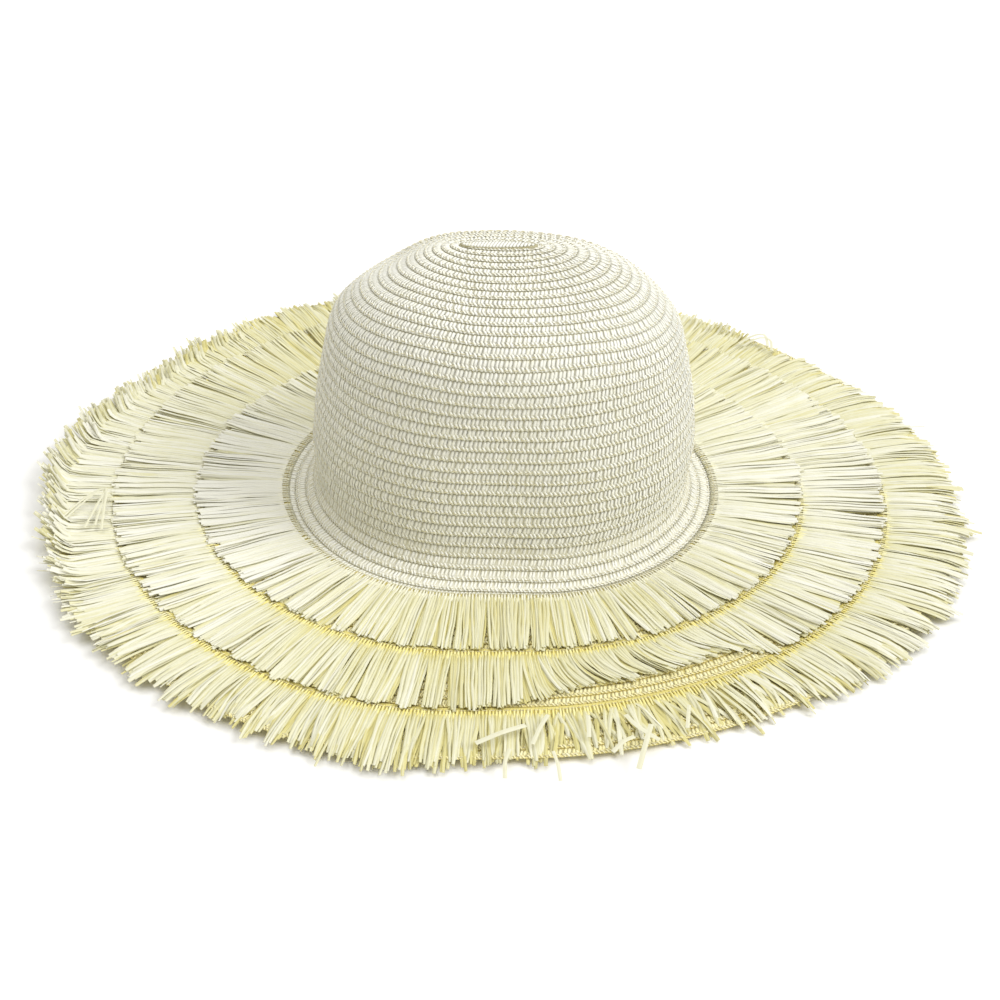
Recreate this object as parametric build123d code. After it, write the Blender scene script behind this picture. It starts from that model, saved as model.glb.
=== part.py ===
"""Wide-brimmed sun hat of spirally sewn paper-straw braid with three rows of raffia fringe.

Millimetres, +Z up.  The hat rests on its brim: the brim's underside is the plane z = 0, and the
crown's axis is the Z axis.  The head's long axis lies along X.
Every row of braid runs at a constant distance round a short straight core, because the sewing
starts from a folded length of braid, so all outlines are ovals: two half circles joined by two
straight runs.  A radial position rho is the distance from that core.
"""
from build123d import *
import os
from math import cos, radians, sin

# Driving dimensions
CORE_HALF = 16.0            # half the length of the straight core at the middle of the crown
CROWN_TOP_Z = 148.0         # highest point of the crown above the brim's underside
BRAID_STACK = 2.2           # two overlapping plies of sewn braid
ROW_STEP = 0.8              # how far the lower edge of a row stands above the next row
TIP_PITCH = 5.0             # visible width of a row at the middle of the crown
ROW_PITCH = 5.95            # visible width of a row everywhere past the shoulder
PITCH_ROWS = 14             # rows over which the pitch grows to ROW_PITCH
TIP_ROWS, DOME_ROWS, SHOULDER_ROWS, SIDE_ROWS, CROWN_ROWS = 1, 8, 14, 31, 36
BRIM_EDGE_RHO = 224.0       # outer edge of the braid brim
FRINGE_RHO = {"inner": 101.3, "middle": 147.0, "outer": 191.0}
FRINGE_TIP_RHO = 240.0      # reach of the outer fringe, past the brim's edge
HEADING_WIDTH = 4.0
HEADING_HEIGHT = 1.2
STRAND_PILE = 3.6           # depth of the strands that lie on the brim
STRAND_ROOT = 1.4           # depth of the strands where they leave the heading
THREAD = 0.4
THREAD_LIFT = 0.18          # clearance of the seam thread from the braid beside and under it
SWEATBAND_TOP_Z, SWEATBAND_BOTTOM_Z = 46.0, 18.5
SWEATBAND_THICKNESS = 0.9

# Side view of the crown, from the middle outwards: slopes in degrees below horizontal
DOME_RADIUS, DOME_SLOPE = 102.0, 30.0
SHOULDER_RADIUS, WALL_SLOPE = 45.5, 84.0
FLARE_RADIUS = 17.0


def arc_drop(radius, slope_in, slope_out):
    """Fall in height along an arc that turns between two slopes."""
    return radius * abs(cos(radians(slope_in)) - cos(radians(slope_out)))


WALL_DROP = (CROWN_TOP_Z - BRAID_STACK - arc_drop(DOME_RADIUS, 0, DOME_SLOPE)
             - arc_drop(SHOULDER_RADIUS, DOME_SLOPE, WALL_SLOPE) - arc_drop(FLARE_RADIUS, WALL_SLOPE, 0))

# Each stretch of the side view: its length, its slope at the start and its slope at the end
STRETCHES = [
    (DOME_RADIUS * radians(DOME_SLOPE), 0.0, DOME_SLOPE),
    (SHOULDER_RADIUS * radians(WALL_SLOPE - DOME_SLOPE), DOME_SLOPE, WALL_SLOPE),
    (WALL_DROP / sin(radians(WALL_SLOPE)), WALL_SLOPE, WALL_SLOPE),
    (FLARE_RADIUS * radians(WALL_SLOPE), WALL_SLOPE, 0.0),
]


def surface_point(run, depth=0.0):
    """Point (rho, z) at a length run along the side view, at a depth under the outer surface."""
    rho, z, slope = 0.0, CROWN_TOP_Z, 0.0
    left = run
    for length, slope_in, slope_out in STRETCHES:
        part = min(left, length)
        slope = slope_in + (slope_out - slope_in) * part / length
        if slope_in == slope_out:
            rho += part * cos(radians(slope))
            z -= part * sin(radians(slope))
        else:
            radius = length / radians(slope_out - slope_in)
            rho += radius * (sin(radians(slope)) - sin(radians(slope_in)))
            z += radius * (cos(radians(slope)) - cos(radians(slope_in)))
        left -= part
        if left <= 0:
            break
    rho += max(left, 0.0)
    return rho - depth * sin(radians(slope)), z - depth * cos(radians(slope))


def row_start(row):
    """Length along the side view at which a row of braid begins."""
    growth = ROW_PITCH - TIP_PITCH
    ramped = min(row, PITCH_ROWS)
    return TIP_PITCH * row + growth * ramped**2 / (2 * PITCH_ROWS) + growth * max(row - PITCH_ROWS, 0)


def oval_solid(outline):
    """Carry a radial outline of (rho, z) points round the oval."""
    face = make_face(Polyline(*[(0, -rho, z) for rho, z in outline], close=True))
    half_turn = Pos(CORE_HALF, 0, 0) * revolve(face, Axis.Z, 180)
    straight = extrude(Pos(-CORE_HALF, 0, 0) * face, CORE_HALF * 2, dir=(1, 0, 0))
    half = half_turn + straight
    return half + half.rotate(Axis.Z, 180)


def braid_rows(first, last):
    """Shingled rows of braid from row first up to row last, as one shell."""
    outer = []
    for row in range(first, last):
        outer.append(surface_point(row_start(row), ROW_STEP))
        outer.append(surface_point(row_start(row + 1)))
    inner = [surface_point(row_start(row), BRAID_STACK) for row in range(last, first - 1, -1)]
    return oval_solid(outer + inner)


def brim_row_count():
    """Number of whole rows of braid from the flare to the brim's edge."""
    flare_rho = surface_point(row_start(CROWN_ROWS))[0]
    return round((BRIM_EDGE_RHO - flare_rho) / ROW_PITCH)


def ring(rho_in, rho_out, z_low, z_high):
    """Plain oval ring of rectangular section."""
    return oval_solid([(rho_in, z_low), (rho_out, z_low), (rho_out, z_high), (rho_in, z_high)])


def fringe_heading(rho):
    """Woven heading tape that holds the roots of one fringe."""
    return ring(rho - HEADING_WIDTH / 2, rho + HEADING_WIDTH / 2, BRAID_STACK, BRAID_STACK + HEADING_HEIGHT)


def fringe_strands(rho, reach):
    """Outer shape of one fringe of raffia strands that lie on the brim."""
    root = rho + HEADING_WIDTH / 2
    low = BRAID_STACK
    return oval_solid([(root, low), (reach, low), (reach, low + STRAND_PILE),
                       (root + STRAND_PILE * 2, low + STRAND_PILE), (root, low + STRAND_ROOT)])


def fringe_stitching(rho):
    """Line of sewing thread along a heading."""
    low = BRAID_STACK + HEADING_HEIGHT
    return ring(rho - THREAD / 2, rho + THREAD / 2, low, low + THREAD)


def seam_thread(first, last):
    """Sewing thread in the step under the lower edge of each row, one turn for each row."""
    turns = []
    low = ROW_STEP - THREAD_LIFT
    high = low - THREAD
    for row in range(first, last):
        near = row_start(row) + THREAD_LIFT
        far = near + THREAD
        corners = [(near, low), (near, high), (far, high), (far, low)]
        turns.append(oval_solid([surface_point(run, depth) for run, depth in corners]))
    return Compound(children=turns)


def wall_run(z):
    """Length along the side view at which the wall reaches a height."""
    wall_start = STRETCHES[0][0] + STRETCHES[1][0]
    return wall_start + (surface_point(wall_start)[1] - z) / sin(radians(WALL_SLOPE))


def sweatband():
    """Ribbon sewn round the inside of the crown, where it sits on the head."""
    inner_depth = BRAID_STACK + SWEATBAND_THICKNESS
    top, bottom = wall_run(SWEATBAND_TOP_Z), wall_run(SWEATBAND_BOTTOM_Z)
    return oval_solid([surface_point(top, BRAID_STACK), surface_point(bottom, BRAID_STACK),
                       surface_point(bottom, inner_depth), surface_point(top, inner_depth)])


def sweatband_stitching():
    """Line of thread that holds the sweatband by its lower edge."""
    rho, z = surface_point(wall_run(SWEATBAND_BOTTOM_Z + 2), BRAID_STACK + SWEATBAND_THICKNESS)
    return ring(rho - THREAD * 1.2, rho - THREAD * 0.2, z, z + THREAD)


brim_rows = brim_row_count()
edge_row = CROWN_ROWS + brim_rows
fringes = list(FRINGE_RHO.items())
reaches = [rho - HEADING_WIDTH / 2 - 0.5 for _, rho in fringes[1:]] + [FRINGE_TIP_RHO]

nodes = {
    "crown_tip_braid": braid_rows(0, TIP_ROWS),
    "crown_dome_braid": braid_rows(TIP_ROWS, DOME_ROWS),
    "crown_shoulder_braid": braid_rows(DOME_ROWS, SHOULDER_ROWS),
    "crown_side_braid": braid_rows(SHOULDER_ROWS, SIDE_ROWS),
    "crown_flare_braid": braid_rows(SIDE_ROWS, CROWN_ROWS),
    "brim_braid": braid_rows(CROWN_ROWS, edge_row - 1),
    "brim_edge_braid": braid_rows(edge_row - 1, edge_row),
    "crown_seam_thread": seam_thread(TIP_ROWS, CROWN_ROWS),
    "brim_seam_thread": seam_thread(CROWN_ROWS + 1, edge_row),
    "sweatband": sweatband(),
    "sweatband_stitching": sweatband_stitching(),
}
for (name, rho), reach in zip(fringes, reaches):
    nodes[f"{name}_fringe_heading"] = fringe_heading(rho)
    nodes[f"{name}_fringe_strands"] = fringe_strands(rho, reach)
    nodes[f"{name}_fringe_stitching"] = fringe_stitching(rho)

os.makedirs("parts", exist_ok=True)
for node, shape in nodes.items():
    export_step(shape, f"parts/{node}.step")
    box = shape.bounding_box()
    print(node, [round(v, 1) for v in (*box.min, *box.max)])
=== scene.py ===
"""Straw sun hat, the looks.

Everything is laid out in hat coordinates first: a turn (share of the way round the oval, from the back's
middle towards -X), a run (length along the side view from the crown's middle) and a height above the
braid's surface.  Then one gentle deformation, worn_shape, bends all pieces together.
"""
import bpy
import numpy as np
from math import atan, cos, pi, radians, sin
from mathutils import Matrix, Vector
from types import SimpleNamespace


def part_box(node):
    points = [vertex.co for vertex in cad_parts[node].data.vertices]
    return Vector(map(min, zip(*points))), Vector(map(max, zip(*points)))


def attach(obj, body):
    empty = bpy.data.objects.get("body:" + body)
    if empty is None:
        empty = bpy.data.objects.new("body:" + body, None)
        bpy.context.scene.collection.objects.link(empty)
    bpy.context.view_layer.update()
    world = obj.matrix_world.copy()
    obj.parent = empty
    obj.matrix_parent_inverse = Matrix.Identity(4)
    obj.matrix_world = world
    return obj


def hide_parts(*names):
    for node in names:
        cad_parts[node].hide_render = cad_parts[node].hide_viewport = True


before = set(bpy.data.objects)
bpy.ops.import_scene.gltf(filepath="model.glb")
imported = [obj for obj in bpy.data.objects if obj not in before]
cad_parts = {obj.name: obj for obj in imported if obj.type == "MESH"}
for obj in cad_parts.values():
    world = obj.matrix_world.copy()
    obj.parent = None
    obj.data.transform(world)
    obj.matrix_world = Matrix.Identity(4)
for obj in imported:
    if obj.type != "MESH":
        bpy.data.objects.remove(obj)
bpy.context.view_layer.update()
MM = 0.001
RNG = np.random.default_rng(7)


# ---- sizes from the frame -------------------------------------------------------------------------
def half_sizes(node):
    """Half of a node's box along X and along Y."""
    low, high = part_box(node)
    return (high[0] - low[0]) / 2, (high[1] - low[1]) / 2


OUTER_X, OUTER_Y = half_sizes("outer_fringe_strands")
CORE_HALF = OUTER_X - OUTER_Y                     # half the straight core of every oval
CROWN_TOP = 148 * MM
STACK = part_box("brim_braid")[1][2]                # two plies of braid: the brim's top surface
TIERS = ("inner", "middle", "outer")
HEADING = 4 * MM                                  # width of a fringe's heading tape
ROOT_RHO = {t: half_sizes(f"{t}_fringe_heading")[1] - HEADING / 2 for t in TIERS}

# The side view that the hat's ovals are built on: arcs of a dome, a shoulder, a wall and a flare
DOME, SHOULDER, FLARE = 102 * MM, 45.5 * MM, 17 * MM
DOME_SLOPE, WALL_SLOPE = radians(30), radians(84)
TIP_PITCH, ROW_PITCH, PITCH_ROWS = 5 * MM, 5.95 * MM, 14
BANDS = {"crown_tip": (0, 1), "crown_dome": (1, 8), "crown_shoulder": (8, 14), "crown_side": (14, 31),
         "crown_flare": (31, 36), "brim": (36, 55), "brim_edge": (55, 56)}


def drop(radius, slope_in, slope_out):
    """Fall in height along an arc that turns between two slopes."""
    return radius * abs(cos(slope_in) - cos(slope_out))


WALL = (CROWN_TOP - STACK - drop(DOME, 0, DOME_SLOPE) - drop(SHOULDER, DOME_SLOPE, WALL_SLOPE)
        - drop(FLARE, WALL_SLOPE, 0)) / sin(WALL_SLOPE)
STRETCHES = [(DOME * DOME_SLOPE, 0.0, DOME_SLOPE),
             (SHOULDER * (WALL_SLOPE - DOME_SLOPE), DOME_SLOPE, WALL_SLOPE),
             (WALL, WALL_SLOPE, WALL_SLOPE),
             (FLARE * WALL_SLOPE, WALL_SLOPE, 0.0)]
CROWN_RUN = sum(length for length, _, _ in STRETCHES)


def side_view(run):
    """rho, z and slope at lengths along the side view, from the middle outwards."""
    left = np.array(run, float)
    rho, z, slope = np.zeros_like(left), np.full_like(left, CROWN_TOP), np.zeros_like(left)
    for length, slope_in, slope_out in STRETCHES:
        part = np.clip(left, 0, length)
        here = slope_in + (slope_out - slope_in) * part / length
        if slope_in == slope_out:
            rho += part * cos(slope_in)
            z -= part * sin(slope_in)
        else:
            radius = length / (slope_out - slope_in)
            rho += radius * (np.sin(here) - sin(slope_in))
            z += radius * (np.cos(here) - cos(slope_in))
        slope = np.where(left > 0, here, slope)
        left -= length
    return rho + np.maximum(left, 0), z, np.where(left > 0, 0.0, slope)


BRIM_START = float(side_view(CROWN_RUN)[0])


def brim_run(rho):
    """Run of a place on the flat brim."""
    return CROWN_RUN + rho - BRIM_START


def row_start(row):
    """Run at which a row begins, for whole or part rows."""
    row = np.maximum(row, 0)
    growth = ROW_PITCH - TIP_PITCH
    ramped = np.minimum(row, PITCH_ROWS)
    return TIP_PITCH * row + growth * ramped**2 / (2 * PITCH_ROWS) + growth * np.maximum(row - PITCH_ROWS, 0)


def oval_length(rho):
    """Way round the oval of radius rho."""
    return 4 * CORE_HALF + 2 * pi * rho


def row_edges(row, turn):
    """Runs at which a row's visible part begins and ends, at a share of its turn, 0 being its start."""
    return row_start(row + turn - 0.5), row_start(row + turn + 0.5)


def row_rho(row):
    """Radius of the oval at the middle of a row."""
    return float(side_view(row_start(row + 0.5))[0])


def oval(turn, rho):
    """Foot on the straight core, and outward direction, at a share of a turn of the oval of radius rho."""
    rho = np.maximum(rho, 0.05 * MM)
    arc = pi * rho
    along = (turn % 1.0) * oval_length(rho)
    angle = pi / 2 + (np.clip(along - CORE_HALF, 0, arc) + np.clip(along - 3 * CORE_HALF - arc, 0, arc)) / rho
    foot = (np.clip(along - CORE_HALF - arc, 0, 2 * CORE_HALF) - np.clip(along, 0, CORE_HALF)
            - np.clip(along - 3 * CORE_HALF - 2 * arc, 0, CORE_HALF))
    return foot, np.cos(angle), np.sin(angle)


def hill(x, centre, width):
    """Smooth hill, 1 at its centre."""
    return np.exp(-((x - centre) / width)**2)


def ramp(x, start, length):
    """0 up to the start, then rising to 1 over the length."""
    return np.clip((x - start) / length, 0, 1)


def bump(angle, centre, width):
    """Smooth hill over compass angles in degrees, 1 at its centre."""
    return hill((angle - centre + 180) % 360 - 180, 0, width)


def bumps(angle, table):
    """Sum of bumps over compass angles, from rows of centre, width and height."""
    return sum(height * bump(angle, centre, width) for centre, width, height in table)


def plateau(angle, low, high, edge=4.0):
    """Smooth 0 to 1 to 0 over compass angles in degrees."""
    return 0.5 * (np.tanh((angle - low) / edge) - np.tanh((angle - high) / edge))


def rounding(x, rho, z):
    """Factor on y that turns the straight-sided ovals into ellipses towards the crown's top."""
    end = CORE_HALF + rho
    x = np.clip(np.abs(x), 0, 0.999 * end)
    ellipse = rho * np.sqrt(1 - (x / end)**2)
    straight = np.sqrt(np.maximum(rho**2 - np.maximum(x - CORE_HALF, 0)**2, 1e-12))
    return 1 + ramp(z, 60 * MM, 60 * MM) * (ellipse / straight - 1)


# How much the brim is drawn in: compass angle and width in degrees, and mm
DRAWN_IN = [(-66, 25, 9), (50, 30, 14)]


def worn_shape(points):
    """The hat's own small unevenness: a dent in the crown, a brim that isn't quite flat nor quite oval."""
    p = np.array(points, float) / MM
    x, y, z = p[..., 0], p[..., 1], p[..., 2]
    away = np.hypot(x, y)
    turn = np.arctan2(y, x)
    angle = np.degrees(turn)
    high = ramp(z, 80, 50)
    lean = ramp(z, 0, CROWN_TOP / MM)
    dent = hill(x, -62, 26) * hill(y, 14, 34) * ramp(z, 70, 50)
    wall = ramp(-z, -125, 65) * ramp(z, 8, 30)
    x = x + wall * np.interp(x, [-75, 0, 75], [-4.2, 0, 6.5])           # the wall bulges to both sides
    fall = 11 * ramp(y, -25, 95)**2 + 1.8 * hill(y, -23, 22) - 2.5 * hill(y, -66, 12)
    fall = fall + 2.2 * ramp(x, -45, 30) + 5.5 * ramp(x, 38, 45)**1.5  # the top falls to the back and right
    x = x - 5 * high * hill(away, 0, 45) + 3 * dent + 1.5 * lean
    z = z - high * fall - 6 * dent
    brim = ramp(away, 110, 130)
    wave = 1.7 + 0.8 * np.sin(2 * turn + 0.6) + 0.5 * np.sin(3 * turn + 2.0) + 0.3 * np.sin(7 * turn)
    shrink = 1 - brim * bumps(angle, DRAWN_IN) / np.maximum(away, 1)
    y = y * shrink + 4 * brim * np.clip(-np.sin(turn), 0, 1)
    return np.stack([x * shrink, y, z + brim * wave + 0.5], axis=-1) * MM


def on_hat(turn, run, height, row_rho=None, aside=0.0):
    """Points at hat coordinates, and the surface's outward direction there.

    row_rho is the oval that the turn is measured on; aside is a shift along the rows.
    """
    rho, z, slope = side_view(run)
    foot, east, north = oval(turn, rho if row_rho is None else row_rho)
    out = rho + height * np.sin(slope)
    x, y = foot + east * out - north * aside, north * out + east * aside
    points = np.stack([x, y * rounding(x, out, z), z + height * np.cos(slope)], axis=-1)
    up = np.stack([east * np.sin(slope), north * np.sin(slope), np.cos(slope) + 0 * east], axis=-1)
    return worn_shape(points), up


# ---- mesh helpers ---------------------------------------------------------------------------------
def new_piece(name, points, quads, material, shade, nodes, smooth):
    """A mesh object from arrays, riding on the hat's one body; nodes are the CAD nodes that it replaces."""
    mesh = bpy.data.meshes.new(name)
    mesh.vertices.add(len(points))
    mesh.vertices.foreach_set("co", np.asarray(points, np.float32).ravel())
    mesh.loops.add(4 * len(quads))
    mesh.loops.foreach_set("vertex_index", np.asarray(quads, np.int32).ravel())
    mesh.polygons.add(len(quads))
    mesh.polygons.foreach_set("loop_start", np.arange(0, 4 * len(quads), 4, dtype=np.int32))
    shades = mesh.attributes.new("shade", "FLOAT", "POINT")
    shades.data.foreach_set("value", np.asarray(shade, np.float32).ravel())
    mesh.update(calc_edges=True)
    mesh.validate()
    if smooth:
        mesh.shade_smooth()
    else:
        mesh.shade_flat()
    piece = bpy.data.objects.new(name, mesh)
    bpy.context.scene.collection.objects.link(piece)
    mesh.materials.append(material)
    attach(piece, "root")
    if nodes:
        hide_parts(*nodes)
    return piece


def tube_quads(rings, sides):
    """Faces of a closed tube of rings with an even number of sides, capped with quads."""
    quads = []
    for start in range(0, (rings - 1) * sides, sides):
        for k in range(sides):
            beside = start + (k + 1) % sides
            quads.append((start + k, beside, beside + sides, start + k + sides))
    last = (rings - 1) * sides
    for k in range(sides // 2 - 1):
        quads.append((sides - 1 - k, sides - 2 - k, 1 + k, k))
        quads.append((last + k, last + k + 1, last + sides - 2 - k, last + sides - 1 - k))
    return np.array(quads)


def repeated(quads, count, points_each):
    """The same faces for many copies of one shape."""
    return (quads[None] + (np.arange(count) * points_each)[:, None, None]).reshape(-1, 4)


# Section of a strip: across, as a share of its width, and up, as a share of its thickness
STRIP = np.array([(-0.5, 0.0), (0.0, 1.0), (0.5, 0.0), (0.0, -0.6)])


def unit(vectors):
    """The same directions with length 1."""
    return vectors / np.maximum(np.linalg.norm(vectors, axis=-1, keepdims=True), 1e-9)


def upwards(centres):
    """Straight up, at every centre."""
    up = np.zeros_like(centres)
    up[..., 2] = 1
    return up


def strips(centres, up, width, thickness, twist=None):
    """Corner points of thin closed strips that follow centre lines of shape (strips, stations, 3)."""
    along = unit(np.gradient(centres, axis=1))
    side = unit(np.cross(along, up))
    rise = np.cross(side, along)
    if twist is not None:
        turned = side * np.cos(twist)[..., None] + rise * np.sin(twist)[..., None]
        rise = rise * np.cos(twist)[..., None] - side * np.sin(twist)[..., None]
        side = turned
    across = np.broadcast_to(width, centres.shape[:2])[..., None] * STRIP[:, 0]
    above = np.broadcast_to(thickness, centres.shape[:2])[..., None] * STRIP[:, 1]
    return centres[:, :, None] + side[:, :, None] * across[..., None] + rise[:, :, None] * above[..., None]


def strip_piece(name, points, material, shade, nodes=(), smooth=True):
    """One piece from many strips of points shaped (strips, stations, corners, 3)."""
    count, rings, sides = points.shape[:3]
    quads = repeated(tube_quads(rings, sides), count, rings * sides)
    shade = np.broadcast_to(shade, points.shape[:3])
    return new_piece(name, points.reshape(-1, 3), quads, material, shade, nodes, smooth)


# ---- materials ------------------------------------------------------------------------------------
def noise(nt, coords, scale, detail):
    """The factor of a noise texture in object coordinates."""
    node = nt.nodes.new("ShaderNodeTexNoise")
    node.inputs["Scale"].default_value = scale
    node.inputs["Detail"].default_value = detail
    nt.links.new(coords.outputs["Object"], node.inputs["Vector"])
    return node.outputs["Fac"]


def straw_material(name, colours, grain=900.0, roughness=0.6):
    """Paper straw or raffia: a colour from the shade attribute, which holds random tone and painted shade
    along and between strands, with fine grain.
    """
    mat = bpy.data.materials.new(name)
    mat.use_nodes = True
    nt = mat.node_tree
    shader = nt.nodes["Principled BSDF"]
    shader.inputs["Roughness"].default_value = roughness
    shader.inputs["Sheen Weight"].default_value = 0.1
    shader.inputs["Specular IOR Level"].default_value = 0.3
    coords = nt.nodes.new("ShaderNodeTexCoord")
    shade = nt.nodes.new("ShaderNodeAttribute")
    shade.attribute_name = "shade"
    centred = nt.nodes.new("ShaderNodeMath")
    centred.operation = "SUBTRACT"
    centred.inputs[1].default_value = 0.5
    nt.links.new(noise(nt, coords, 160.0, 4.0), centred.inputs[0])
    total = nt.nodes.new("ShaderNodeMath")                    # the shade attribute, random tone and painted shade, and some mottling
    total.operation = "MULTIPLY_ADD"
    total.inputs[1].default_value = 0.3
    nt.links.new(centred.outputs[0], total.inputs[0])
    nt.links.new(shade.outputs["Fac"], total.inputs[2])
    tones = nt.nodes.new("ShaderNodeValToRGB")
    stops = tones.color_ramp.elements
    while len(stops) < len(colours):
        stops.new(0.5)
    for k, colour in enumerate(colours):
        stops[k].position = k / (len(colours) - 1)
        stops[k].color = (*colour, 1)
    nt.links.new(total.outputs[0], tones.inputs["Fac"])
    nt.links.new(tones.outputs["Color"], shader.inputs["Base Color"])
    ridges = nt.nodes.new("ShaderNodeBump")
    ridges.inputs["Strength"].default_value = 0.25
    ridges.inputs["Distance"].default_value = 0.2 * MM
    nt.links.new(noise(nt, coords, grain, 3.0), ridges.inputs["Height"])
    nt.links.new(ridges.outputs["Normal"], shader.inputs["Normal"])
    return mat


# Colours from the darkest, for painted shade deep between strands, to the lightest
crown_straw = straw_material("crown_straw", [(0.78, 0.76, 0.56), (0.93, 0.92, 0.81), (0.955, 0.95, 0.89)])
# painted shade: the brim's straw and core are the crown's, painted yellower for the shade and bounced light
# under the fringe
brim_straw_painted_shade = straw_material("brim_straw_painted_shade", [(0.74, 0.64, 0.24), (0.90, 0.82, 0.42), (0.93, 0.89, 0.60)])
# painted shade: the core's darkest colour draws the dark lines at the row steps and round the braid's start
crown_core_painted_shade = straw_material("crown_core_painted_shade", [(0.42, 0.38, 0.20), (0.84, 0.82, 0.68), (0.90, 0.89, 0.78)])
brim_core_painted_shade = straw_material("brim_core_painted_shade", [(0.68, 0.56, 0.15), (0.86, 0.76, 0.32), (0.90, 0.83, 0.48)])
raffia = straw_material("raffia", [(0.66, 0.60, 0.25), (0.705, 0.68, 0.43), (0.76, 0.745, 0.575),
                                   (0.82, 0.81, 0.72)], grain=700.0, roughness=0.5)
heading_straw = straw_material("heading_straw", [(0.76, 0.64, 0.16), (0.90, 0.80, 0.28), (0.92, 0.86, 0.44),
                                                 (0.88, 0.86, 0.68)])
ribbon_cloth = straw_material("ribbon_cloth", [(0.62, 0.59, 0.48), (0.78, 0.76, 0.66)], grain=1500.0)
thread_cloth = straw_material("thread_cloth", [(0.62, 0.55, 0.32), (0.80, 0.76, 0.55)], grain=2500.0)


# ---- braid ----------------------------------------------------------------------------------------
UNIT = 2.0 * MM             # plait pitch along the braid
STEP = 0.45 * MM            # how far the lower edge of a row stands over the next row
INNER_DEPTH = 1.0 * MM      # depth of the braid's inner face under its outer one, at a row's lower edge
TUCK = 0.3                  # share of a row's width that lies under the row before it

# Centre line of each strand of the plait: (along the braid in mm, share of the row, height in mm)
UPPER_ARM = [(1.00, 0.06, -0.02), (0.76, 0.24, 0.16), (0.42, 0.48, 0.22), (0.10, 0.72, 0.05)]
LOWER_ARM = [(-0.20, 0.58, 0.08), (0.25, 0.72, 0.28), (0.80, 0.87, 0.30), (1.40, 1.01, -0.02)]
UPPER_WIDTH, LOWER_WIDTH, ARM_THICKNESS = 2.10 * MM, 1.35 * MM, 0.20 * MM
ARM_ENDS_PAINTED_SHADE = np.array([-0.15, 0.0, 0.0, -0.10])      # painted shade: strands are darker where they dive under others


def braid_place(row, turn, share, height, side):
    """Run and height above the surface of a place on a row, on the hat's outer (+1) or inner (-1) side."""
    across = share if side > 0 else 1 - TUCK - share
    begin, end = row_edges(row, turn)
    floor = -STEP * (1 - share) if side > 0 else -INNER_DEPTH - STEP * share
    return begin + (end - begin) * across, floor + side * height


def plait_strands(row, line, width, side):
    """Strips of one kind of strand for one turn of the braid."""
    line = np.array(line)
    rho = row_rho(row)
    length = oval_length(rho)
    count = round(length / UNIT)
    index = np.arange(count)
    paired = np.where(index % 2, -0.14, 0.14) * MM
    start = (index + RNG.uniform(0, 1)) / count + (paired + RNG.normal(0, 0.10, count) * MM) / length
    turn = start[:, None] + line[None, :, 0] * MM / length
    tall = 1 + 0.25 * RNG.normal(0, 1, count)[:, None] - 0.15 * (index % 2)[:, None]
    run, height = braid_place(row, turn, line[None, :, 1] + 0 * turn, line[None, :, 2] * tall * MM, side)
    centres, up = on_hat(turn, run, height, rho)
    slim = np.array([0.85, 1.0, 1.0, 0.8]) * RNG.uniform(0.92, 1.06, count)[:, None]
    points = strips(centres, up * side, width * slim, ARM_THICKNESS)
    shade = RNG.normal(0.66, 0.10, count)[:, None] + ARM_ENDS_PAINTED_SHADE
    return points, np.broadcast_to(shade[..., None], points.shape[:3])


def add_plait(name, first, last, side, material):
    """The plait's strands over a band of rows."""
    parts = [plait_strands(row, line, width, side) for row in range(first, last)
             for line, width in ((UPPER_ARM, UPPER_WIDTH), (LOWER_ARM, LOWER_WIDTH))]
    points, shades = (np.concatenate(arrays) for arrays in zip(*parts))
    strip_piece(name, points, material, shades)


# Section of the braid's body under its strands: (share of the row, height in mm, shade); the shade is painted
# shade, darkest where a row starts under the lower edge of the row before
BODY = [(-0.28, -1.05, 0.3), (0.03, -0.42, 0.2), (0.95, 0.04, 0.6), (1.0, -0.36, 0.1), (0.7, -0.88, -0.1),
        (-0.27, -1.50, 0.4)]
BODY_STATIONS = 200
SHORT_ROWS, LONG_ROWS = 13, 5        # rows in one piece of plait: near the crown's middle, and past it


def add_body(name, first, last, material, nodes):
    """The flat body of the braid over a band of rows: one spiral strip that tucks under its last turn."""
    section = np.array(BODY)
    rows = np.arange((last - first) * BODY_STATIONS + 1) / BODY_STATIONS + first
    whole = np.minimum(np.floor(rows), last - 1)
    turn = (rows - whole)[:, None]
    share = section[None, :, 0] + 0 * turn
    begin, end = row_edges(rows[:, None], 0)
    run = np.maximum(begin + (end - begin) * share, 0)
    points, _ = on_hat(turn, run, section[None, :, 1] * MM + 0 * turn, side_view(run)[0])
    # painted shade: the body is darker where each row starts under the row before
    shade = np.broadcast_to(section[:, 2], points.shape[:2])
    strip_piece(name, points[None], material, shade[None], nodes)


def add_braids():
    """The braid's body and plait, band by band; long bands are cut up, so that no piece is too heavy."""
    for band, (first, last) in BANDS.items():
        kind = "brim" if first >= BANDS["brim"][0] else "crown"
        # the brim takes the painted-shade copies of the crown's materials
        core, straw = (brim_core_painted_shade, brim_straw_painted_shade) if kind == "brim" else (crown_core_painted_shade, crown_straw)
        add_body(f"{band}_braid_body", first, last, core, [f"{band}_braid"])
        step = SHORT_ROWS if last <= BANDS["crown_shoulder"][1] else LONG_ROWS
        for start in range(first, last, step):
            stop = min(start + step, last)
            for side, face in ((1, "outer"), (-1, "inner")):
                add_plait(f"{band}_plait_{face}_{start + 1}_{stop}", start, stop, side, straw)


TIP_RIB_PITCH = UNIT / 1.2


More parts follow.
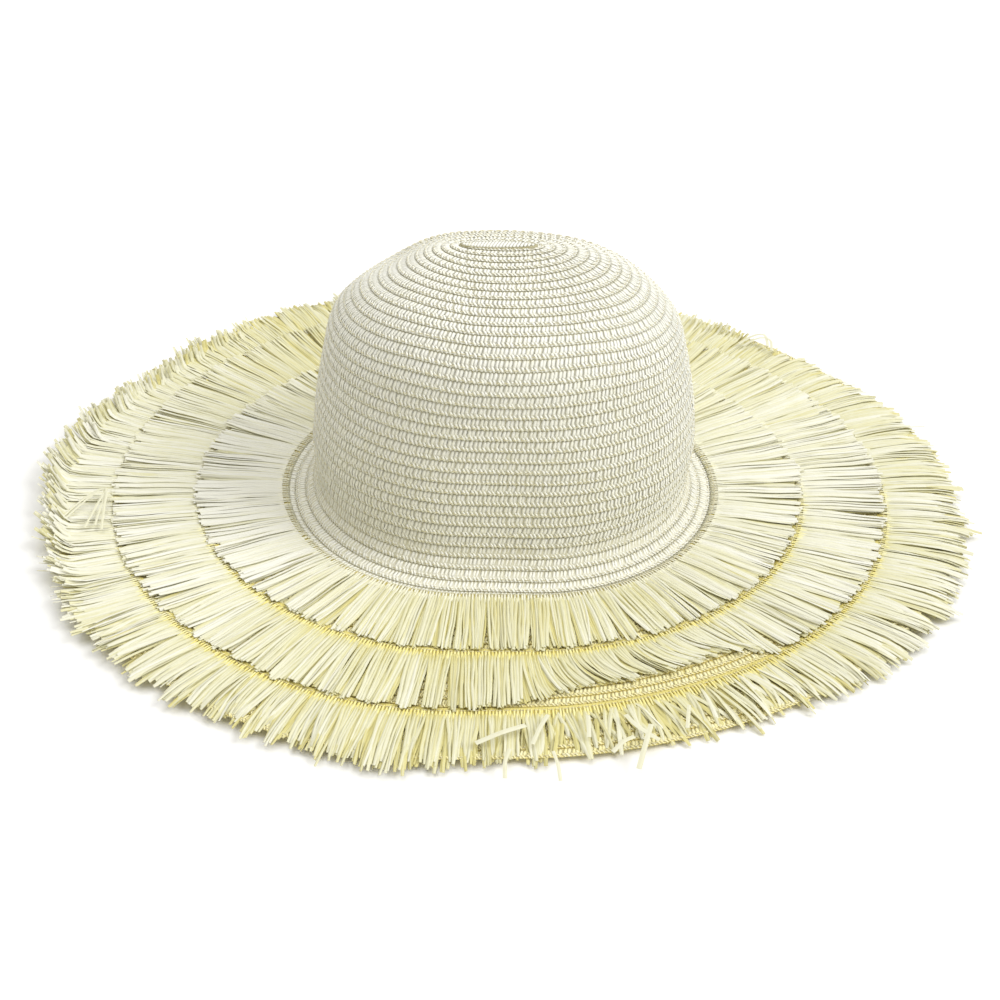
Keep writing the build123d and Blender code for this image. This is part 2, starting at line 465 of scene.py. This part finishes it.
def add_tip_strip():
    """The braid's folded start: a short straight stretch on the crown's middle, with a dark strip round it
    under its ribs, painted shade of the groove there.
    """
    half_length, half_width = CORE_HALF + 2 * MM, 3.3 * MM
    x = np.linspace(-1, 1, 25)[:, None]
    width = half_width * np.sqrt(np.maximum(1 - x**2, 0.02))

    def raised(x, y, height):
        """Points at a height over the top of the dome."""
        top = CROWN_TOP - y**2 / (2 * DOME) + height
        return worn_shape(np.stack(np.broadcast_arrays(x, y, top), axis=-1))

    # painted shade: a dark strip under the ribs' edges stands for the shadow in the groove round them
    groove = np.array([(-1.0, 0.05), (-1.0, 0.45), (1.0, 0.45), (1.0, 0.05)])
    points = raised((half_length + 1.5 * MM) * x, groove[:, 0] * (width + 0.6 * MM), groove[:, 1] * MM)
    strip_piece("crown_tip_groove_painted_shade", points[None], crown_core_painted_shade, 0.05)
    count = round(2 * half_length / TIP_RIB_PITCH)
    x = ((np.arange(count) + 0.5) / count * 2 - 1)[:, None]
    y = np.array([-1.0, -0.6, 0.0, 0.6, 1.0]) * (half_width * np.sqrt(1 - x**2) + 0 * x)
    x = half_length * x + 0.35 * y
    height = np.array([0.50, 0.82, 0.95, 0.82, 0.50]) * MM
    centres = raised(x, y, height)
    ribs = strips(centres, upwards(centres), 1.75 * MM, ARM_THICKNESS)
    strip_piece("crown_tip_ribs", ribs, crown_straw, RNG.normal(0.66, 0.1, count)[:, None, None])


# ---- thread ---------------------------------------------------------------------------------------
THREAD = 0.4 * MM
SEAM_SPACING = 4.2 * MM     # from the start of one stitch of a seam to the start of the next
SEAM_SHARE = 0.84           # where a seam runs, as a share of its row
SEAM_LIFT = 0.52 * MM       # height of a seam over the row's surface


def stitch_line(rho, run, height, spacing, length, side=1):
    """Short stitches along one oval, as strips of thread, on the outer (+1) or inner (-1) side."""
    count = round(oval_length(rho) / spacing)
    along = (np.arange(count)[:, None] + np.array([0.0, 0.3, 0.7, 1.0]) * length / spacing) / count
    lift = height + np.array([-0.35, 0.0, 0.0, -0.35]) * THREAD * side
    centres, up = on_hat(along, run + 0 * along, lift + 0 * along, rho)
    return strips(centres, up, THREAD, THREAD / 2)


def add_seam(name, first, last, side, nodes):
    """Machine stitches through the lower edge of each row, on the hat's outer (+1) or inner (-1) side."""
    parts = []
    for row in range(first, last):
        rho = row_rho(row)
        count = round(oval_length(rho) / SEAM_SPACING)
        turn = (np.arange(count)[:, None] + np.array([0.0, 0.25, 0.5, 0.7])) / count
        run, height = braid_place(row, turn, SEAM_SHARE + 0 * turn, SEAM_LIFT + 0 * turn, side)
        lift = np.array([-0.4, 0.0, 0.0, -0.4]) * MM * side
        centres, up = on_hat(turn, run, height + lift, rho)
        parts.append(strips(centres, up * side, THREAD, THREAD / 2))
    strip_piece(name, np.concatenate(parts), thread_cloth, 0.6, nodes)


# ---- fringe ---------------------------------------------------------------------------------------
# How far strands reach in general (rho), and how much single strands differ from it
REACH = {"inner": ROOT_RHO["middle"] - 2.6 * MM, "middle": ROOT_RHO["outer"] - 2.6 * MM, "outer": 226 * MM}
RAGGED = {"inner": 0.7 * MM, "middle": 0.8 * MM, "outer": 2.4 * MM}
LAYERS = 4                                         # layers of strands, from the brim up
PITCH = 1.52 * MM                                  # spacing of the strands of one layer at the root
SHARES = np.array([0.0, 0.06, 0.18, 0.36, 0.54, 0.72, 0.87, 1.0])     # points along a strand
COMBED = (-84.0, -50.0)                            # compass angles where the fringes are swept aside
STRAND_THICKNESS = 0.27 * MM
WAVES = ((0.08, 0.38), (0.7, 1.5), (0, 1))         # ranges of a strand's wave: mm, waves, phase

# Rows of compass angle, width in degrees and height: the outer fringe's reach and its curl, in mm,
# and the tone of the strands
OUTER_REACH = [(-75, 30, -5), (50, 24, -5), (120, 30, -4), (152, 16, -9), (-122, 8, -3),
               (-14, 32, 5), (180, 8, 5), (-147, 12, 2), (-104, 6, 3), (-38, 10, 3)]
CURL = [(180, 26, 10), (145, 14, 4), (50, 7, 4)]
TONE = [(-90, 52, -0.50), (122, 42, -0.55), (52, 34, -0.45)]
# painted shade: the lower layers of strands, under the others, are darker and yellower
LAYER_PAINTED_SHADE = [0.33, 0.53, 0.73, 0.87]
ACROSS_PAINTED_SHADING = np.array([-0.18, 0.10, -0.18, -0.18])       # painted shade on the strip's edges, painted highlight on its ridge


def compass(turn, rho):
    """Direction of a strand from the hat's middle, degrees from +X."""
    foot, east, north = oval(turn, rho)
    return np.degrees(np.arctan2(north * rho, foot + east * rho))


def fringe_reach(tier, angle):
    """How far the strands of a fringe reach (rho), before they differ one by one."""
    reach = np.full_like(angle, REACH[tier])
    if tier == "outer":
        reach += MM * bumps(angle, OUTER_REACH)
    if tier == "middle":
        reach -= 14 * MM * plateau(angle, *COMBED)
    return reach


def at_front(angle):
    """1 where the headings show, at the front, and 0 where the fringe before them covers them."""
    return plateau(angle % 360, 206, 352, 14.0)


def clump_plan(tier):
    """Groups of neighbouring strands that hang together: their edges round the oval and their own ways."""
    root = ROOT_RHO[tier]
    strands_each = 5                                                   # on average
    count = round(oval_length(root) / (strands_each * PITCH))
    sizes = RNG.uniform(3.2, 6.8, count)
    edges = np.concatenate([[0.0], np.cumsum(sizes) / sizes.sum()])
    return {"edges": edges, "pull": RNG.uniform(0.15, 0.65, count), "drift": RNG.normal(0, 1.3, count) * MM,
            "reach": RNG.normal(0, 1, count), "lift": RNG.normal(0, 0.3, count) * MM}


def strand_roots(tier, layer, plan):
    """Where the strands of one layer begin, and what their places ask of them."""
    root = ROOT_RHO[tier] + 0.3 * HEADING
    count = round(oval_length(root) / PITCH)
    station = ((np.arange(count) + RNG.uniform(-0.3, 0.3, count) + 0.25 * layer) / count) % 1.0
    angle = compass(station, root)
    front = at_front(angle)
    clump = np.searchsorted(plan["edges"], station, side="right") - 1
    low, high = plan["edges"][clump], plan["edges"][clump + 1]
    beside = (station - (low + high) / 2) * oval_length(root)          # from the middle of its clump
    upper = layer >= 2 and tier != "outer"
    return SimpleNamespace(
        tier=tier, layer=layer, root=root, count=count, station=station, angle=angle, front=front,
        combed=plateau(angle, *COMBED), clump=clump, beside=beside,
        beside_share=2 * beside / ((high - low) * oval_length(root)), upper=upper,
        over=(1 - front) * upper)                                      # tips that lie over the next heading


def strand_reach(at, plan):
    """How far out each strand reaches (rho)."""
    own = RNG.normal(0, 1, at.count) + 0.8 * plan["reach"][at.clump]
    reach = fringe_reach(at.tier, at.angle) + RAGGED[at.tier] * own
    reach -= 1.6 * MM * at.beside_share**2                             # a clump has a rounded end
    reach -= at.combed * np.abs(RNG.normal(0, 4 * MM if at.tier == "outer" else 1.5 * MM, at.count))
    return reach + (1.3 * at.upper + 2.9 * at.over) * MM


def strand_aside(at, plan, s):
    """How far each strand goes aside along its length: into its clump, with a drift and a wave."""
    drift = (plan["drift"][at.clump] + RNG.normal(0, 0.5, at.count) * MM)[:, None]
    swing, pace, phase = (RNG.uniform(low, high, at.count)[:, None] for low, high in WAVES)
    wave = swing * MM * (np.sin(2 * pi * (s * pace + phase)) - np.sin(2 * pi * phase))
    pull = plan["pull"][at.clump] * (0.25 + 0.75 * at.front)
    aside = -(at.beside * pull)[:, None] * s**1.2 + drift * s**1.6 + wave
    if at.tier == "middle":
        aside = aside + 12 * MM * at.combed[:, None] * s**2
    if at.tier == "outer":
        aside = aside + (4 * MM * at.combed * RNG.normal(0.6, 1.2, at.count))[:, None] * s
        aside = aside + (5 * MM * bump(at.angle, 175, 35))[:, None] * -s**3
    return aside


def strand_height(at, plan, s):
    """Height of each strand over the brim along its length, and how far its curl draws it in."""
    pile = (0.8 + 0.38 * at.layer) * MM
    start = (0.5 + 0.2 * at.layer) * MM
    lift = (RNG.normal(0, 0.2, at.count) * MM + plan["lift"][at.clump])[:, None]
    height = start + (pile - start) * ramp(s, 0, 0.3) + lift * s
    drawn = 0 * height
    if at.tier == "outer":
        curl = (MM * bumps(at.angle, CURL) * RNG.uniform(0.5, 1.15, at.count))[:, None]
        bend = ramp(s, 0.62, 0.38)**2
        droop = 2.0 * MM * (1 - np.minimum(curl / (6 * MM), 1))
        height = height + (curl - droop) * bend
        drawn = 0.35 * curl * bend
    else:
        height = height + (0.3 + 0.5 * at.over[:, None]) * MM * ramp(s, 0.7, 0.3)
    return np.maximum(height, -1.6 * MM), drawn


def strand_shade(at, s):
    """Shade of each strand along its length and across it, with painted shade on lower layers and on a
    strand's edges, a painted highlight on its ridge, and painted light on the inner fringe's left.
    """
    own = RNG.normal(0, 0.11, at.count) + bumps(at.angle, TONE)
    # painted light: the inner fringe is lighter on the left, where the crown's shadow falls
    if at.tier == "inner":
        own = own + 0.25 * bump(at.angle, 180, 45)
    if at.tier == "outer":
        own = own - 0.2 * bump(at.angle, 0, 40)
    shade = LAYER_PAINTED_SHADE[at.layer] + own[:, None] + 0.14 * ramp(s, 0.5, 0.5)
    if at.tier != "inner":
        shade = shade - 0.5 * np.exp(-s / 0.08) * (0.15 + 0.85 * at.front[:, None])     # yellow roots
    return shade[..., None] + ACROSS_PAINTED_SHADING


def fringe_layer(tier, layer, plan):
    """Strips of one layer of a fringe, and their shades."""
    s = SHARES[None, :]
    at = strand_roots(tier, layer, plan)
    reach = strand_reach(at, plan)
    aside = strand_aside(at, plan, s)
    height, drawn = strand_height(at, plan, s)
    keep = np.ones(at.count, bool)
    if tier == "outer":                                                # the combed stretch is thin
        keep = RNG.uniform(0, 1, at.count) > 0.55 * at.combed
    rho = at.root + s * (reach - at.root)[:, None] - drawn
    centres, up = on_hat(at.station[:, None] + 0 * s, brim_run(rho), height, at.root, aside)
    spread = 1 + 0.35 * at.combed * (tier == "outer") + 0.4 * np.cos(np.radians(at.angle))**2
    wide = (RNG.uniform(1.05, 1.65, at.count) * spread)[:, None] * MM
    taper = np.interp(SHARES, [0, 0.1, 0.85, 1], [0.75, 1, 1.15, 0.9])
    twist = RNG.normal(0, 0.25, at.count)[:, None] + RNG.normal(0, 0.4, at.count)[:, None] * s
    points = strips(centres, up, wide * taper, STRAND_THICKNESS, twist)
    return points[keep], strand_shade(at, s)[keep]


# Ribs of a heading across its tape: (distance out from its middle in mm, height in mm, shade)
RIB = [(-2.8, 0.30, 0.0), (-1.4, 0.90, 0.0), (0.0, 1.15, 0.05), (1.8, 1.10, 0.0), (3.4, 1.05, 0.05),
       (5.0, 0.90, 0.2)]
RIB_PITCH, RIB_WIDTH, RIB_THICKNESS = 1.62 * MM, 1.35 * MM, 0.35 * MM
# Section of a heading's tape: (distance out from its middle in mm, height in mm, shade)
TAPE = [(-2.0, 0.0, 0.3), (-1.8, 0.5, 0.2), (1.8, 0.5, 0.2), (2.0, 0.0, 0.3)]


def add_heading(tier):
    """The woven heading: a tape with the raffia's turns over it as short ribs."""
    rho = ROOT_RHO[tier]
    count = round(oval_length(rho) / RIB_PITCH)
    rib = np.array(RIB)
    station = (np.arange(count) + RNG.uniform(-0.12, 0.12, count))[:, None] / count
    tall = RNG.uniform(0.85, 1.1, count)[:, None]
    centres, up = on_hat(station + 0 * rib[:, 0], brim_run(rho + rib[:, 0] * MM) + 0 * station,
                         rib[:, 1] * tall * MM, rho, RNG.normal(0, 0.15, (count, 1)) * MM)
    ribs = strips(centres, up, RIB_WIDTH * RNG.uniform(0.85, 1.05, count)[:, None], RIB_THICKNESS)
    pale = 0.75 if tier == "inner" else 0.6 * (1 - at_front(compass(station, rho)))[:, :, None]
    shade = RNG.normal(0.42, 0.12, count)[:, None, None] + rib[:, 2, None] + pale
    strip_piece(f"{tier}_heading_ribs", ribs, heading_straw, shade,
                [f"{tier}_fringe_heading"])
    tape = np.array(TAPE)
    if tier != "inner":
        tape[:2, 0] -= 2.0                                             # reaches under the tips inside it: a pale sheet that paints light into the shaded gap under them
    around = np.arange(361)[:, None] / 360
    points, _ = on_hat(around + 0 * tape[:, 0], brim_run(rho + tape[:, 0] * MM) + 0 * around,
                       tape[:, 1] * MM + 0 * around, rho)
    strip_piece(f"{tier}_heading_tape", points[None], heading_straw, tape[None, None, :, 2])
    stitches = stitch_line(rho, brim_run(rho - 0.9 * MM), 1.35 * MM, 3.4 * MM, 2.4 * MM)
    strip_piece(f"{tier}_stitches", stitches, thread_cloth, 0.5, [f"{tier}_fringe_stitching"])


def add_fringe(tier):
    """One fringe: its two lower layers share their clumps, and so do its two upper ones."""
    plans = clump_plan(tier), clump_plan(tier)
    layers = [fringe_layer(tier, layer, plans[layer // 2]) for layer in range(LAYERS)]
    for part, pair in (("lower", layers[:2]), ("upper", layers[2:])):
        points, shades = (np.concatenate(arrays) for arrays in zip(*pair))
        strip_piece(f"{tier}_strands_{part}", points, raffia, shades,
                    [f"{tier}_fringe_strands"], smooth=False)


# Loose strands that lie across the others: points (x, y, height over the floor) and width, all in mm
LOOSE = [
    ([(-9, -211, 9), (2, -205, 10), (13, -199, 9)], 2.6),
    ([(16, -210, 8), (19, -201, 9), (23, -191, 8)], 2.0),
    ([(41, -191, 8), (41, -198, 9), (41, -205, 8)], 2.0),
    ([(51, -214, 8), (56, -208, 9), (61, -204, 8)], 2.2),
    ([(87, -183, 8), (86, -190, 9), (85, -198, 8)], 1.8),
    ([(69, -196, 8), (66, -208, 9), (62, -222, 6)], 2.4),
    ([(6, -213, 8), (4, -219, 7), (4, -228, 5)], 1.8),
    ([(25, -214, 8), (27, -221, 7), (28, -229, 5)], 1.6),
    ([(58, -190, 8), (62, -198, 9), (72, -206, 8)], 2.2),
    ([(-229, -47, 7), (-219, -32, 11), (-208, -24, 12), (-211, -38, 11), (-214, -57, 9)], 1.3),
    ([(-228, -50, 7), (-217, -33, 11), (-208, -23, 13), (-207, -39, 12), (-205, -58, 9)], 1.3),
    ([(-227, -44, 7), (-218, -30, 11), (-207, -22, 12), (-209, -41, 11), (-209, -55, 9)], 1.2),
    ([(146, 145, 9), (156, 151, 12), (163, 150, 13), (163, 140, 10)], 1.8),
    ([(148, 142, 9), (158, 148, 12), (166, 146, 12), (165, 137, 9)], 1.6),
]


def add_loose_strands():
    """Stray strands, each a smooth line through its few points."""
    lines = []
    for line, width in LOOSE:
        knots = np.array(line, float)
        at = np.linspace(0, len(knots) - 1, 9)
        smooth = np.stack([np.interp(at, np.arange(len(knots)), values) for values in knots.T], axis=-1)
        smooth[1:-1] = (smooth[:-2] + 2 * smooth[1:-1] + smooth[2:]) / 4
        lines.append((smooth * MM, width * MM))
    centres = np.stack([line for line, _ in lines])
    widths = np.array([width for _, width in lines])[:, None]
    points = strips(centres, upwards(centres), widths, 0.15 * MM)
    strip_piece("loose_strands", points, raffia, 0.6, smooth=False)


# ---- sweatband ------------------------------------------------------------------------------------
RIBBON_RIDGE = 0.4 * MM                            # half the pitch of the ribbon's ribs


def add_sweatband():
    """A grosgrain ribbon round the inside of the crown's foot."""
    low, high = (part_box("sweatband")[k][2] for k in (0, 1))
    wall_start = STRETCHES[0][0] + STRETCHES[1][0]
    top_z = float(side_view(wall_start)[1])
    runs = wall_start + (top_z - np.array([high, low])) / sin(WALL_SLOPE)
    rho = float(side_view(runs.mean())[0]) - STACK
    around = oval_length(rho)
    columns = round(around / RIBBON_RIDGE) // 2 * 2
    turn = np.arange(columns + 1)[:, None] / columns
    # Section of the ribbon: five places down its inner face, then three up its outer one
    section_run = np.array([*np.linspace(runs[0], runs[1], 5), runs[1], runs[1], runs[0]])
    depth = np.array([0.75, 0.8, 0.8, 0.8, 0.75, 0.45, 0.45, 0.45]) * MM
    ridge = np.array([0, 1, 1, 1, 0, 0, 0, 0]) * 0.10 * MM * (np.arange(columns + 1) % 2)[:, None]
    height = -(STACK + depth + ridge)
    points, _ = on_hat(turn + 0 * height, section_run + 0 * height, height, rho)
    ribbon = strip_piece("sweatband_ribbon", points[None], ribbon_cloth, 0.55,
                         ["sweatband"])
    stitches = stitch_line(rho, runs[1] - 2 * MM, -(STACK + 1.0 * MM), 4.0 * MM, 2.8 * MM, side=-1)
    strip_piece("sweatband_stitches", stitches, thread_cloth, 0.6, ["sweatband_stitching"])


# ---- camera, light and floor ----------------------------------------------------------------------
AIM = Vector((0, 0, 45.5 * MM))
DISTANCE = 859.3 * MM
ELEVATION = radians(32.3)
FOCAL = 1.6153              # focal length as a share of the picture's width
SENSOR = 36.0
RISE = 0.0849               # how far above the middle of the picture the aim point stands
ROLL = 0.016
FLOOR_REACH = 4.0           # metres from the middle to each side


def add_camera():
    """The camera in front of the hat, looking down on it; the aim point stands above the picture's middle."""
    data = bpy.data.cameras.new("camera")
    data.sensor_width = SENSOR
    data.lens = SENSOR * FOCAL
    camera = bpy.data.objects.new("camera", data)
    bpy.context.scene.collection.objects.link(camera)
    camera.location = AIM + DISTANCE * Vector((0, -cos(ELEVATION), sin(ELEVATION)))
    tilt = pi / 2 - ELEVATION - atan(RISE / FOCAL)
    turned = Matrix.Rotation(tilt, 4, "X") @ Matrix.Rotation(ROLL, 4, "Z")
    camera.rotation_euler = turned.to_euler()
    bpy.context.scene.camera = camera


def add_soft_light(name, towards, irradiance, spread):
    """A distant, soft light; its irradiance is a share of what white surroundings would give."""
    data = bpy.data.lights.new(name, "SUN")
    data.energy = pi * irradiance
    data.angle = spread
    lamp = bpy.data.objects.new(name, data)
    bpy.context.scene.collection.objects.link(lamp)
    lamp.location = Vector(towards)
    lamp.rotation_euler = Vector(towards).to_track_quat("Z", "Y").to_euler()


def studio_world():
    """Pale surroundings with one soft, warm, dimmer side at the front left, as in a room."""
    world = bpy.data.worlds.new("studio")
    world.use_nodes = True
    nt = world.node_tree
    coords = nt.nodes.new("ShaderNodeTexCoord")
    towards = nt.nodes.new("ShaderNodeVectorMath")
    towards.operation = "DOT_PRODUCT"
    towards.inputs[1].default_value = Vector((-0.80, -0.60, -0.25)).normalized()
    nt.links.new(coords.outputs["Generated"], towards.inputs[0])
    amount = nt.nodes.new("ShaderNodeMapRange")
    amount.inputs["From Min"].default_value = -0.2
    amount.inputs["From Max"].default_value = 0.9
    nt.links.new(towards.outputs["Value"], amount.inputs["Value"])
    tones = nt.nodes.new("ShaderNodeValToRGB")
    tones.color_ramp.elements[0].color = (1, 1, 1, 1)
    tones.color_ramp.elements[1].color = (0.55, 0.50, 0.33, 1)
    nt.links.new(amount.outputs["Result"], tones.inputs["Fac"])
    nt.links.new(tones.outputs["Color"], nt.nodes["Background"].inputs["Color"])
    nt.nodes["Background"].inputs["Strength"].default_value = 0.57
    bpy.context.scene.world = world


def add_studio():
    """Surroundings, a soft light from the right, one from above, and a white floor."""
    studio_world()
    add_soft_light("key_light", (1.0, -0.22, 1.0), 0.50, radians(30))
    add_soft_light("top_light", (-0.1, 0.0, 1.0), 0.40, radians(60))
    floor_mesh = bpy.data.meshes.new("floor")
    corners = [(x * FLOOR_REACH, y * FLOOR_REACH, 0) for x, y in ((-1, -1), (1, -1), (1, 1), (-1, 1))]
    floor_mesh.from_pydata(corners, [], [(0, 1, 2, 3)])
    floor = bpy.data.objects.new("floor", floor_mesh)
    bpy.context.scene.collection.objects.link(floor)
    white = bpy.data.materials.new("floor_white")
    white.use_nodes = True
    white.node_tree.nodes["Principled BSDF"].inputs["Base Color"].default_value = (0.95, 0.95, 0.95, 1)
    floor_mesh.materials.append(white)
    bpy.context.scene.view_settings.view_transform = "Standard"


add_camera()
add_studio()
add_braids()
add_tip_strip()
CROWN_ROWS, ALL_ROWS = BANDS["brim"][0], BANDS["brim_edge"][1]
add_seam("crown_seam_stitches", 0, CROWN_ROWS, 1, ["crown_seam_thread"])
add_seam("brim_seam_stitches", CROWN_ROWS, ALL_ROWS, 1, ["brim_seam_thread"])
add_seam("brim_seam_stitches_under", CROWN_ROWS, ALL_ROWS, -1, ["brim_seam_thread"])
for tier_name in TIERS:
    add_heading(tier_name)
    add_fringe(tier_name)
add_loose_strands()
add_sweatband()
